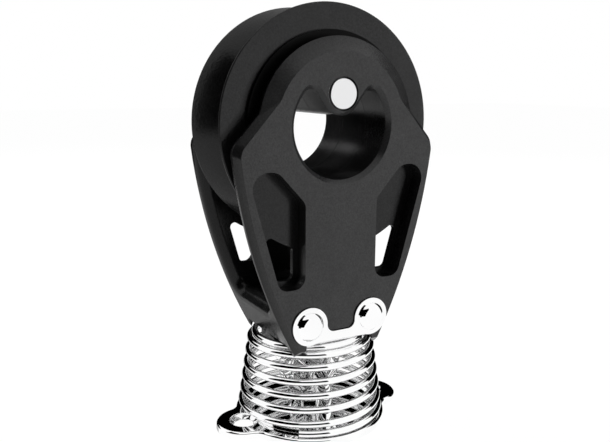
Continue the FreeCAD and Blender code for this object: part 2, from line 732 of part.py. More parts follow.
nodes = {
    "base_plate": make_base_plate(),
    "bail": make_bail(),
    "spring": make_spring(),
    "shackle_bow": make_shackle_bow(),
    "shackle_pin": make_shackle_pin(),
    "swivel_post": make_swivel_post(),
    "lower_washer": make_swivel_washer(strap_underside - stack_clearance - washer_thickness),
    "upper_washer": make_swivel_washer(strap_floor + stack_clearance),
    "swivel_nut": make_swivel_nut(),
    "strap": make_strap(),
    "left_rivet": make_rivet(-1),
    "right_rivet": make_rivet(1),
    "near_cheek": make_near_cheek(),
    "far_cheek": make_far_cheek(),
    "load_pin": make_load_pin(),
    "hub": make_hub(),
    "rollers": make_rollers(),
    "roller_cage": make_roller_cage(),
    "near_thrust_ring": make_thrust_ring(-1),
    "far_thrust_ring": make_thrust_ring(1),
    "sheave": make_sheave(),
}

os.makedirs("parts", exist_ok=True)
for name, shape in nodes.items():
    shape.exportStep("parts/" + name + ".step")
    size = shape.BoundBox
    print(f"{name}: {len(shape.Solids)} solid, {shape.Volume:.1f} mm3, valid {shape.isValid()}, "
          f"{size.XMin:.2f}..{size.XMax:.2f} {size.YMin:.2f}..{size.YMax:.2f} {size.ZMin:.2f}..{size.ZMax:.2f}")
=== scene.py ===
import json
import math

import bmesh
import bpy
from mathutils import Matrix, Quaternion, Vector


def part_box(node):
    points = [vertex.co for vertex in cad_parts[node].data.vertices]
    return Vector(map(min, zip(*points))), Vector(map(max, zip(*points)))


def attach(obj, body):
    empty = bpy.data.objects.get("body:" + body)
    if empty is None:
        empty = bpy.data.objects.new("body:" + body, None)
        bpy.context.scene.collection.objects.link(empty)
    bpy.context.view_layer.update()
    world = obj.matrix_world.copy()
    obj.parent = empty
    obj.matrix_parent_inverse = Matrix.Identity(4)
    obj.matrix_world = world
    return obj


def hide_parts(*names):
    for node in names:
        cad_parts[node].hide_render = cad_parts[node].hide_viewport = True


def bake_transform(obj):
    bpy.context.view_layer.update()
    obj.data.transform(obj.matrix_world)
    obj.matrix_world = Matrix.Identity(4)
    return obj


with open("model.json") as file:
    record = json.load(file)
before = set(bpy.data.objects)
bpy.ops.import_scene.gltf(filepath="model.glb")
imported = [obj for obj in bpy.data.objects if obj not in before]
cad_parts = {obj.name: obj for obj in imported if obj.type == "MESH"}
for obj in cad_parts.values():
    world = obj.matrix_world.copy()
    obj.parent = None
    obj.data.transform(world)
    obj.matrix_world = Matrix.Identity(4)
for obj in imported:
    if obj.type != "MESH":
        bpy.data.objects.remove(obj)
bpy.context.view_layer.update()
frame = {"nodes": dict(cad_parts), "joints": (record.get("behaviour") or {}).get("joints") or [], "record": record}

# A stand-up block on its spring, dressed over the solids of the frame. Lengths are in metres.
MM = 0.001

# Camera, at the photograph's angle
CAMERA_AZIMUTH = math.radians(-28.86)
CAMERA_ELEVATION = math.radians(11.48)
CAMERA_ROLL = math.radians(0.33)
CAMERA_DISTANCE = 189.8 * MM
CAMERA_TARGET = Vector((-1.8, 0.0, 55.54)) * MM
CAMERA_LENS = 41.45
CAMERA_SENSOR = 36.0

# Heights and joint axes, from the frame
joint_at = {joint["name"]: Vector(joint["pos_m"]) for joint in frame["joints"]}
AXLE_HEIGHT = joint_at["sheave_spin"].z
BAIL_AXIS = joint_at["lean_along"].z
PIN_AXIS = joint_at["lean_across"].z
BOSS_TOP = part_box("bail")[0].z
SEAT_BOSS_HEIGHT = 1.0 * MM
BASE_TOP = BOSS_TOP - SEAT_BOSS_HEIGHT
STRAP_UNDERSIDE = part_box("strap")[0].z

# Edge rounding of moulded and stamped pieces
CHEEK_EDGE = 0.3 * MM
LIP_EDGE = 0.62 * MM
POCKET_EDGE = 0.9 * MM
STEEL_EDGE = 0.22 * MM
FINE_EDGE = 0.12 * MM
EDGE_ANGLE = math.radians(24)
EDGE_STEPS = 3
WELD = 0.001 * MM
FLAT_ANGLE = math.radians(0.4)

# Sheave, a turned section about the axle
SHEAVE_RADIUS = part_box("sheave")[1].z - AXLE_HEIGHT
SHEAVE_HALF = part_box("sheave")[1].y
SHEAVE_BORE = 21.5 * MM
BORE_EDGE = 0.25 * MM
RIM_ROUND = 0.4 * MM
RIM_TURN_IN_DEG = 20
RIM_STEPS = 8
GROOVE_BOTTOM = 23.6 * MM
GROOVE_ARC = 5.0 * MM
GROOVE_STEPS = 28
TURNED_STEPS = 256

# Bars. The middle of a rounded corner lies in from both its faces by a share of its radius.
BAR_RADIUS = 2.4 * MM
BAIL_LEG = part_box("bail")[1].y - BAR_RADIUS
BAIL_BEND = 5.0 * MM
SHACKLE_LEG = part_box("shackle_bow")[1].x - BAR_RADIUS
SHACKLE_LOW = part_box("shackle_bow")[0].z + BAR_RADIUS
EYE_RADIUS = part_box("shackle_bow")[1].z - PIN_AXIS
EYE_ROUND = 0.5 * MM
ROUND_MIDDLE = 0.29
EYE_STEPS = 64
PIN_RADIUS = 2.0 * MM
BEND_STEPS = 40
BAR_RESOLUTION = 10

# Rivets
RIVET_X = 9.1 * MM
RIVET_Z = (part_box("left_rivet")[0].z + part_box("left_rivet")[1].z) / 2
RIVET_SHANK = 2.5 * MM
RIVET_HEAD = 3.7 * MM
RIVET_FLAT = 2.7 * MM
RIVET_SOFT = 0.12 * MM
RIVET_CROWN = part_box("left_rivet")[1].y
RIVET_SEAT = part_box("strap")[1].y
RIVET_EDGE = 0.45 * MM
SMALL_TURNED_STEPS = 128

# Load pin
LOAD_PIN_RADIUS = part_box("load_pin")[1].x
LOAD_PIN_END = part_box("load_pin")[1].y
LOAD_PIN_Z = (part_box("load_pin")[0].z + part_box("load_pin")[1].z) / 2
LOAD_PIN_EDGE = 0.08 * MM
LOAD_PIN_RING = 4.5 * MM

# Opening and pockets of a cheek, where its edges are rounder
CHEEK_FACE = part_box("far_cheek")[1].y
LIP_RADIUS = 14.5 * MM
LIP_DEPTH = 1.3 * MM
POCKET_LOW = 41.5 * MM
POCKET_TOP = 72.1 * MM
POCKET_LOW_X = 18.0 * MM
POCKET_INNER_X = 10.0 * MM
POCKET_SLOPE = 0.284
FACE_SLACK = 0.02 * MM
# Depths across a cheek over which painted shade darkens its pocket floors
PAINTED_SHADE_DEEP = CHEEK_FACE - 3.0 * MM
PAINTED_SHADE_OPEN = CHEEK_FACE - 0.4 * MM

# Spring: closed coils at both ends, open ones between
WIRE_RADIUS = 0.95 * MM
SPRING_RADIUS = 19.5 * MM
SPRING_TAPER = 0.14
SPRING_TURNS = 7.2
SPRING_START = math.radians(233.0)
CLOSED_LOW = 0.75
CLOSED_HIGH = 1.4
PITCH_LOW = 2.05 * MM
PITCH_HIGH = 1.55 * MM
NESTING = 1.15 * MM
SPRING_TOP_GAP = 0.1 * MM
COIL_STEPS = 96
WIRE_SIDES = 20
DIE_LINE_PACE = 1.5
SPRING_MIDDLE = 14.0 * MM

# Lamps: place and size in metres, power in watts
KEY_PLACE = (0.298, -0.52, 0.035)
KEY_SIZE = (0.08, 0.08)
KEY_POWER = 4.1
FILL_PLACE = (-0.4, 0.49, 0.25)
FILL_SIZE = (0.25, 0.25)
FILL_POWER = 2.4
BACK_PLACE = (0.35, 0.45, 0.4)
BACK_SIZE = (0.5, 0.3)
BACK_POWER = 1.2

# Surroundings. Each dark flag has its turn from the camera's side (anticlockwise seen from above), half its
# width, its height, half its height and its soft edge, in degrees, and the share of the light that it takes.
AMBIENT = 0.06
CAMERA_SIDE_DEG = math.degrees(CAMERA_AZIMUTH) - 90.0
DARK_FLAGS = {
    "around_camera": (-0.6, 30.5, 17.5, 22.5, 1.0, 1.0),
    "left_of_camera": (-46.6, 24.5, 23.0, 33.0, 1.5, 1.0),
    "behind": (167.0, 58.0, 14.0, 26.0, 1.5, 1.0),
    "behind_left": (235.4, 21.5, 3.0, 19.0, 1.5, 1.0),
    "low_behind": (192.9, 14.0, -29.0, 10.0, 2.0, 0.8),
    "low_behind_left": (218.9, 12.0, -29.0, 10.0, 2.0, 0.5),
}
FLOOR_SIZE = 4.0
FLOOR_GLOW = 1.06
FLOOR_GLOW_SHARE = 0.93
FLOOR_COLOUR = (0.85, 0.85, 0.85, 1.0)
WHITE = (1.0, 1.0, 1.0, 1.0)

# Finishes
STEEL_COLOUR = (0.985, 0.986, 0.988)
FACED_COLOUR = (0.84, 0.84, 0.845)
PLAIN_COLOUR = (0.62, 0.62, 0.63)
POLISH_DEPTH = 0.0003 * MM
MACHINING_DEPTH = 0.003 * MM
FACING_DEPTH = 0.004 * MM
CHEEK_COLOUR = (0.02, 0.02, 0.0203)
SHEAVE_COLOUR = (0.013, 0.013, 0.0132)
COMPOSITE_GRAIN = 0.034 * MM
# Share of colour and specular level left at a cheek's pocket floors: painted shade
POCKET_PAINTED_SHADE = 0.62
BEARING_COLOUR = (0.002, 0.002, 0.002)
CAGE_COLOUR = (0.012, 0.012, 0.012)
WASHER_COLOUR = (0.014, 0.014, 0.014)
BEARING_SPECULAR = 0.06


def new_material(name):
    """A material with its node tree and its one shader."""
    material = bpy.data.materials.new(name)
    material.use_nodes = True
    tree = material.node_tree
    tree.nodes.clear()
    output = tree.nodes.new("ShaderNodeOutputMaterial")
    shader = tree.nodes.new("ShaderNodeBsdfPrincipled")
    tree.links.new(shader.outputs["BSDF"], output.inputs["Surface"])
    return material, tree, shader


def add(tree, kind, inputs=None, **settings):
    """A node with its settings, and its inputs set or linked by name or number."""
    node = tree.nodes.new(kind)
    for name, value in settings.items():
        setattr(node, name, value)
    for key, value in (inputs or {}).items():
        if isinstance(value, bpy.types.NodeSocket):
            tree.links.new(value, node.inputs[key])
        else:
            node.inputs[key].default_value = value
    return node


def ramp(tree, value, low, high, to_low, to_high):
    """The value moved from one range to another."""
    node = add(tree, "ShaderNodeMapRange", {0: value, 1: low, 2: high, 3: to_low, 4: to_high})
    return node.outputs[0]


def paint(tree, shader, colour, tone):
    """The base colour, made lighter and darker by a tone."""
    toned = add(tree, "ShaderNodeVectorMath", {0: colour, "Scale": tone}, operation="SCALE").outputs[0]
    tree.links.new(toned, shader.inputs["Base Color"])


def roughen(tree, shader, value, low, high, smooth, rough):
    """Roughness that runs from smooth to rough while a pattern runs from low to high."""
    tree.links.new(ramp(tree, value, low, high, smooth, rough), shader.inputs["Roughness"])


def relief(tree, shader, height, depth, strength):
    """Fine height from a pattern, which the solid itself doesn't have."""
    bump = add(tree, "ShaderNodeBump", {"Height": height, "Distance": depth, "Strength": strength})
    tree.links.new(bump.outputs["Normal"], shader.inputs["Normal"])


def composite(name, colour, roughness, specular, grain_scale, grain_depth, recess_painted_shade=1.0):
    """Glass-filled moulding compound: dark and finely grained, with painted shade in the recesses of a cheek,
    where colour and specular level are lowered.
    """
    material, tree, shader = new_material(name)
    place = add(tree, "ShaderNodeTexCoord").outputs["Object"]
    grain = add(tree, "ShaderNodeTexNoise", {"Vector": place, "Scale": grain_scale, "Detail": 3.0,
                                             "Roughness": 0.6})
    cloud = add(tree, "ShaderNodeTexNoise", {"Vector": place, "Scale": grain_scale * 0.09, "Detail": 4.0,
                                             "Roughness": 0.55})
    speck = add(tree, "ShaderNodeTexVoronoi", {"Vector": place, "Scale": grain_scale * 0.8})
    tone = ramp(tree, grain.outputs["Fac"], 0.3, 0.7, 0.65, 1.35)
    patch = ramp(tree, cloud.outputs["Fac"], 0.3, 0.7, 0.9, 1.1)
    both = add(tree, "ShaderNodeMath", {0: tone, 1: patch}, operation="MULTIPLY").outputs[0]
    shader.inputs["Specular IOR Level"].default_value = specular
    # Painted shade: colour and specular level fall towards the floors of the cheek's pockets, darker as if in
    # shadow
    if recess_painted_shade < 1.0:
        across = add(tree, "ShaderNodeSeparateXYZ", {0: place}).outputs[1]
        outward = add(tree, "ShaderNodeMath", {0: across}, operation="ABSOLUTE").outputs[0]
        share = ramp(tree, outward, PAINTED_SHADE_DEEP, PAINTED_SHADE_OPEN, recess_painted_shade, 1.0)
        both = add(tree, "ShaderNodeMath", {0: both, 1: share}, operation="MULTIPLY").outputs[0]
        level = add(tree, "ShaderNodeMath", {0: share, 1: specular}, operation="MULTIPLY").outputs[0]
        tree.links.new(level, shader.inputs["Specular IOR Level"])
    paint(tree, shader, colour, both)
    roughen(tree, shader, cloud.outputs["Fac"], 0.25, 0.75, roughness - 0.05, roughness + 0.06)
    height = add(tree, "ShaderNodeMath", {0: grain.outputs["Fac"], 1: speck.outputs["Distance"]},
                 operation="ADD").outputs[0]
    relief(tree, shader, height, grain_depth, 0.5)
    return material


def polished(name, colour, roughness, line_scale, line_depth):
    """Polished steel: a clear mirror with hairlines left by the wheel."""
    material, tree, shader = new_material(name)
    place = add(tree, "ShaderNodeTexCoord").outputs["Object"]
    stretched = add(tree, "ShaderNodeMapping", {"Vector": place, "Scale": (0.12, 1.0, 1.0)}).outputs[0]
    lines = add(tree, "ShaderNodeTexNoise", {"Vector": stretched, "Scale": line_scale, "Detail": 2.0})
    wave = add(tree, "ShaderNodeTexNoise", {"Vector": place, "Scale": 90.0, "Detail": 1.0})
    roughen(tree, shader, lines.outputs["Fac"], 0.35, 0.8, roughness, roughness + 0.05)
    paint(tree, shader, colour, ramp(tree, wave.outputs["Fac"], 0.3, 0.7, 0.97, 1.02))
    relief(tree, shader, lines.outputs["Fac"], line_depth, 0.25)
    shader.inputs["Metallic"].default_value = 1.0
    return material


def drawn_wire(name, colour, roughness):
    """Polished spring wire with faint die lines along its length, read from the wire's own attribute."""
    material, tree, shader = new_material(name)
    along = add(tree, "ShaderNodeAttribute", attribute_name="wire_place").outputs["Vector"]
    lines = add(tree, "ShaderNodeTexNoise", {"Vector": along, "Scale": 9.0, "Detail": 3.0})
    roughen(tree, shader, lines.outputs["Fac"], 0.35, 0.75, roughness, roughness + 0.06)
    paint(tree, shader, colour, ramp(tree, lines.outputs["Fac"], 0.3, 0.7, 0.96, 1.02))
    shader.inputs["Metallic"].default_value = 1.0
    return material


def faced_steel(name, colour, roughness, centre_x, centre_z, ring_scale):
    """A lathe-faced end: fine rings about its own centre."""
    material, tree, shader = new_material(name)
    place = add(tree, "ShaderNodeTexCoord").outputs["Object"]
    centred = add(tree, "ShaderNodeMapping", {"Vector": place, "Location": (-centre_x, 0.0, -centre_z),
                                              "Scale": (1.0, 0.0, 1.0)}).outputs[0]
    rings = add(tree, "ShaderNodeTexWave", {"Vector": centred, "Scale": ring_scale, "Distortion": 0.6,
                                            "Detail": 2.0},
                wave_type="RINGS", rings_direction="SPHERICAL")
    roughen(tree, shader, rings.outputs["Fac"], 0.0, 1.0, roughness, roughness + 0.08)
    paint(tree, shader, colour, ramp(tree, rings.outputs["Fac"], 0.0, 1.0, 0.97, 1.02))
    relief(tree, shader, rings.outputs["Fac"], FACING_DEPTH, 0.3)
    shader.inputs["Metallic"].default_value = 1.0
    return material


def bearing_plastic(name, colour, roughness):
    """Dense turned plastic, slightly waxy."""
    material, tree, shader = new_material(name)
    place = add(tree, "ShaderNodeTexCoord").outputs["Object"]
    swirl = add(tree, "ShaderNodeTexNoise", {"Vector": place, "Scale": 260.0, "Detail": 3.0,
                                             "Distortion": 0.8})
    paint(tree, shader, colour, ramp(tree, swirl.outputs["Fac"], 0.3, 0.7, 0.9, 1.1))
    roughen(tree, shader, swirl.outputs["Fac"], 0.3, 0.7, roughness - 0.04, roughness + 0.05)
    shader.inputs["Specular IOR Level"].default_value = BEARING_SPECULAR
    return material


materials = {
    "polished_steel": polished("polished_steel", STEEL_COLOUR, roughness=0.02, line_scale=1400.0,
                               line_depth=POLISH_DEPTH),
    "spring_steel": drawn_wire("spring_steel", STEEL_COLOUR, roughness=0.02),
    "pin_steel": faced_steel("pin_steel", FACED_COLOUR, roughness=0.22, centre_x=0.0, centre_z=LOAD_PIN_Z,
                             ring_scale=1500.0),
    "plain_steel": polished("plain_steel", PLAIN_COLOUR, roughness=0.22, line_scale=1800.0,
                            line_depth=MACHINING_DEPTH),
    "cheek_composite": composite("cheek_composite", CHEEK_COLOUR, roughness=0.2, specular=0.32,
                                 grain_scale=2600.0, grain_depth=COMPOSITE_GRAIN, recess_painted_shade=POCKET_PAINTED_SHADE),
    "sheave_composite": composite("sheave_composite", SHEAVE_COLOUR, roughness=0.2, specular=0.24,
                                  grain_scale=2300.0, grain_depth=COMPOSITE_GRAIN),
    "bearing_plastic": bearing_plastic("bearing_plastic", BEARING_COLOUR, roughness=0.32),
    "cage_plastic": bearing_plastic("cage_plastic", CAGE_COLOUR, roughness=0.45),
    "washer_plastic": bearing_plastic("washer_plastic", WASHER_COLOUR, roughness=0.42),
}

slot_of = {part["node"]: part["material_slot"] for part in frame["record"]["subparts"]}
body_of = {node: body for body, nodes in frame["record"]["behaviour"]["bodies"].items() for node in nodes}


def set_material(piece, material):
    """The one finish of a piece."""
    piece.data.materials.clear()
    piece.data.materials.append(material)


def settle(piece, node):
    """The piece stands for a node: it rides on the node's body and takes its finish."""
    slot = slot_of[node]
    set_material(piece, materials[slot])
    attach(piece, body_of[node])
    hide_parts(node)
    return piece


def link(name, mesh):
    """A new object for a mesh, in the scene."""
    piece = bpy.data.objects.new(name, mesh)
    bpy.context.scene.collection.objects.link(piece)
    return piece


def applied(piece):
    """The same object with its modifiers made part of a plain mesh."""
    graph = bpy.context.evaluated_depsgraph_get()
    mesh = bpy.data.meshes.new_from_object(piece.evaluated_get(graph), depsgraph=graph)
    piece.modifiers.clear()
    piece.data = mesh
    return piece


def welded(node):
    """A copy of a node's solid and its editable shape, with seams welded and flat faces made whole."""
    mesh = frame["nodes"][node].data.copy()
    mesh.materials.clear()
    piece = link(node + "_dressed", mesh)
    shape = bmesh.new()
    shape.from_mesh(mesh)
    bmesh.ops.remove_doubles(shape, verts=shape.verts, dist=WELD)
    bmesh.ops.dissolve_limit(shape, angle_limit=FLAT_ANGLE, verts=shape.verts, edges=shape.edges)
    for face in shape.faces:
        face.smooth = True
    return piece, shape


def rounded(piece, shape, width, limit):
    """The shape as a plain mesh, its edges rounded and its shading evened."""
    shape.to_mesh(piece.data)
    shape.free()
    bevel = piece.modifiers.new("edges", "BEVEL")
    bevel.width = width
    bevel.segments = EDGE_STEPS
    bevel.limit_method = limit
    bevel.angle_limit = EDGE_ANGLE
    bevel.miter_outer = "MITER_ARC"
    bevel.use_clamp_overlap = True
    even = piece.modifiers.new("even", "WEIGHTED_NORMAL")
    even.keep_sharp = True
    return applied(piece)


def dress(node, edge):
    """A node's own shape with all its edges rounded alike."""
    piece, shape = welded(node)
    return settle(rounded(piece, shape, edge, "ANGLE"), node)


def edge_width(middle):
    """How far a moulded edge of a cheek is rounded: more at the opening's lip and round the pockets."""
    across = abs(middle.x)
    on_face = abs(abs(middle.y) - CHEEK_FACE) < FACE_SLACK
    from_axle = math.hypot(middle.x, middle.z - AXLE_HEIGHT)
    from_pin = math.hypot(middle.x, middle.z - LOAD_PIN_Z)
    if abs(middle.y) > CHEEK_FACE - LIP_DEPTH and from_axle < LIP_RADIUS and from_pin > LOAD_PIN_RING:
        return LIP_EDGE
    slope = POCKET_LOW_X + (middle.z - POCKET_LOW) * POCKET_SLOPE
    if on_face and POCKET_LOW < middle.z < POCKET_TOP and POCKET_INNER_X < across < slope:
        return POCKET_EDGE
    return CHEEK_EDGE


def dress_cheek(node):
    """A cheek with each edge rounded by its own amount."""
    piece, shape = welded(node)
    weight = shape.edges.layers.float.new("bevel_weight_edge")
    for edge in shape.edges:
        if len(edge.link_faces) == 2 and edge.calc_face_angle() > EDGE_ANGLE:
            edge[weight] = edge_width((edge.verts[0].co + edge.verts[1].co) / 2) / POCKET_EDGE
    return settle(rounded(piece, shape, POCKET_EDGE, "WEIGHT"), node)


def turned(name, outline, steps=TURNED_STEPS, centre=(0.0, 0.0), axis="Y"):
    """A closed turned piece from its half section, points of (radius, place along the axis)."""
    shape = bmesh.new()
    rings = []
    for radius, place in outline:
        count = 1 if radius < WELD else steps
        reach = 0.0 if radius < WELD else radius
        ring = []
        for step in range(count):
            angle = 2 * math.pi * step / steps
            corner = placed(reach * math.cos(angle), reach * math.sin(angle), place, centre, axis)
            ring.append(shape.verts.new(corner))
        rings.append(ring)
    for first, second in zip(rings, rings[1:]):
        for step in range(steps):
            ahead = (step + 1) % steps
            corners = [first[step % len(first)], first[ahead % len(first)],
                       second[ahead % len(second)], second[step % len(second)]]
            unique = list(dict.fromkeys(corners))
            if len(unique) > 2:
                shape.faces.new(unique)
    if outline[0] == outline[-1]:
        bmesh.ops.remove_doubles(shape, verts=shape.verts, dist=WELD)
    bmesh.ops.recalc_face_normals(shape, faces=shape.faces)
    for face in shape.faces:
        face.smooth = True
    mesh = bpy.data.meshes.new(name)
    shape.to_mesh(mesh)
    shape.free()
    return link(name, mesh)


def placed(across, up, along, centre, axis):
    """A point across, above and along a turned piece's own line, which runs along Y or X."""
    if axis == "Y":
        return Vector((centre[0] + across, along, centre[1] + up))
    return Vector((along, centre[0] + across, centre[1] + up))


def arc(centre, radius, start_deg, end_deg, steps):
    """Points of an arc in a half section, angles counted from the outward direction."""
    points = []
    for step in range(steps + 1):
        angle = math.radians(start_deg + (end_deg - start_deg) * step / steps)
        points.append((centre[0] + radius * math.cos(angle), centre[1] + radius * math.sin(angle)))
    return points


def crisp(piece, angle_deg=30.0):
    """Smooth shading that breaks at real edges."""
    for polygon in piece.data.polygons:
        polygon.use_smooth = True
    piece.data.set_sharp_from_angle(angle=math.radians(angle_deg))
    return piece


def make_sheave():
    """Grooved wheel with rounded rims and a round groove."""
    lip = SHEAVE_HALF - RIM_ROUND
    drop = SHEAVE_RADIUS - GROOVE_BOTTOM - GROOVE_ARC
    turn = math.degrees(math.atan2(drop, lip) + math.asin(GROOVE_ARC / math.hypot(lip, drop)))
    flank = [(SHEAVE_BORE + BORE_EDGE, SHEAVE_HALF)]
    flank += arc((SHEAVE_RADIUS - RIM_ROUND, lip), RIM_ROUND, 90, -RIM_TURN_IN_DEG, RIM_STEPS)
    groove = arc((GROOVE_BOTTOM + GROOVE_ARC, 0.0), GROOVE_ARC, 180 - turn, 180 + turn, GROOVE_STEPS)
    far_flank = [(radius, -place) for radius, place in reversed(flank)]
    bore = [(SHEAVE_BORE, -SHEAVE_HALF + BORE_EDGE), (SHEAVE_BORE, SHEAVE_HALF - BORE_EDGE)]
    outline = flank + groove + far_flank + bore + flank[:1]
    return crisp(turned("sheave_wheel", outline, centre=(0.0, AXLE_HEIGHT)))


def make_rivet(side, name, node):
    """A rivet with a flat-topped, bevelled head at each end, as one closed turned piece."""
    rim = RIVET_SEAT + RIVET_EDGE
    head = [(0.0, RIVET_CROWN), (RIVET_FLAT - RIVET_SOFT, RIVET_CROWN),
            (RIVET_FLAT, RIVET_CROWN - RIVET_SOFT * 0.35),
            (RIVET_HEAD - RIVET_SOFT * 0.6, rim + RIVET_SOFT * 0.6),
            (RIVET_HEAD, rim - RIVET_SOFT * 0.4), (RIVET_HEAD, RIVET_SEAT), (RIVET_SHANK, RIVET_SEAT)]
    outline = head + [(radius, -place) for radius, place in reversed(head)]
    piece = turned(name, outline, SMALL_TURNED_STEPS, (side * RIVET_X, RIVET_Z))
    return settle(crisp(piece, angle_deg=26.0), node)


def make_load_pin():
    """Round pin whose ends lie flush in the cheeks, with a small edge break."""
    end = [(0.0, LOAD_PIN_END), (LOAD_PIN_RADIUS - LOAD_PIN_EDGE, LOAD_PIN_END),
           (LOAD_PIN_RADIUS, LOAD_PIN_END - LOAD_PIN_EDGE)]
    outline = end + [(radius, -place) for radius, place in reversed(end)]
    return crisp(turned("load_pin_turned", outline, SMALL_TURNED_STEPS, (0.0, LOAD_PIN_Z)))


def bar(name, points, radius):
    """A round bar along a list of points, as a closed mesh."""
    curve = bpy.data.curves.new(name, "CURVE")
    curve.dimensions = "3D"
    curve.bevel_depth = radius
    curve.bevel_resolution = BAR_RESOLUTION
    curve.use_fill_caps = True
    spline = curve.splines.new("POLY")
    spline.points.add(len(points) - 1)
    for point, place in zip(spline.points, points):
        point.co = (*place, 1.0)
    holder = bpy.data.objects.new(name + "_path", curve)
    bpy.context.scene.collection.objects.link(holder)
    bpy.context.view_layer.update()
    graph = bpy.context.evaluated_depsgraph_get()
    mesh = bpy.data.meshes.new_from_object(holder.evaluated_get(graph), depsgraph=graph)
    bpy.data.objects.remove(holder)
    shape = bmesh.new()
    shape.from_mesh(mesh)
    bmesh.ops.remove_doubles(shape, verts=shape.verts, dist=WELD)
    bmesh.ops.recalc_face_normals(shape, faces=shape.faces)
    shape.to_mesh(mesh)
    shape.free()
    return link(name, mesh)


def make_bail():
    """Bent bar that stands on the raised middle of the plate."""
    level = BAIL_AXIS - BAIL_BEND
    inner = BAIL_LEG - BAIL_BEND
    points = [Vector((0, -BAIL_LEG, BOSS_TOP))]
    for step in range(BEND_STEPS + 1):
        angle = math.pi - math.pi / 2 * step / BEND_STEPS
        points.append(Vector((0, -inner + BAIL_BEND * math.cos(angle), level + BAIL_BEND * math.sin(angle))))
    for step in range(BEND_STEPS + 1):
        angle = math.pi / 2 - math.pi / 2 * step / BEND_STEPS
        points.append(Vector((0, inner + BAIL_BEND * math.cos(angle), level + BAIL_BEND * math.sin(angle))))
    points.append(Vector((0, BAIL_LEG, BOSS_TOP)))
    return settle(crisp(bar("bail_bar", points, BAR_RADIUS)), "bail")


def boolean(piece, other, operation):
    """The piece joined with the other, or cut by it. The other is used up."""
    modifier = piece.modifiers.new(operation, "BOOLEAN")
    modifier.operation = operation
    modifier.solver = "EXACT"
    modifier.object = other
    applied(piece)
    bpy.data.objects.remove(other)
    return piece


def eye(name, side):
    """A disc with rounded edges for an end of the shackle, before its hole is cut."""
    inner = side * (SHACKLE_LEG - BAR_RADIUS)
    outer = side * (SHACKLE_LEG + BAR_RADIUS)
    soft = side * EYE_ROUND
    eased = EYE_RADIUS - EYE_ROUND * ROUND_MIDDLE
    outline = [(0.0, inner), (EYE_RADIUS - EYE_ROUND, inner), (eased, inner + soft * ROUND_MIDDLE),
               (EYE_RADIUS, inner + soft), (EYE_RADIUS, outer - soft), (eased, outer - soft * ROUND_MIDDLE),
               (EYE_RADIUS - EYE_ROUND, outer), (0.0, outer)]
    return turned(name, outline, EYE_STEPS, (0.0, PIN_AXIS), "X")


def make_shackle():
    """U-shaped bar with an eye at each end, all one piece."""
    level = SHACKLE_LOW + SHACKLE_LEG
    points = [Vector((-SHACKLE_LEG, 0, PIN_AXIS))]
    for step in range(2 * BEND_STEPS + 1):
        angle = math.pi + math.pi * step / (2 * BEND_STEPS)
        points.append(Vector((SHACKLE_LEG * math.cos(angle), 0, level + SHACKLE_LEG * math.sin(angle))))
    points.append(Vector((SHACKLE_LEG, 0, PIN_AXIS)))
    piece = bar("shackle_bar", points, BAR_RADIUS)
    for side in (-1, 1):
        boolean(piece, eye("eye_tool", side), "UNION")
    hole_end = SHACKLE_LEG + 2 * BAR_RADIUS
    outline = [(0.0, -hole_end), (PIN_RADIUS, -hole_end), (PIN_RADIUS, hole_end), (0.0, hole_end)]
    boolean(piece, turned("hole_tool", outline, EYE_STEPS, (0.0, PIN_AXIS), "X"), "DIFFERENCE")
    return settle(crisp(piece), "shackle_bow")


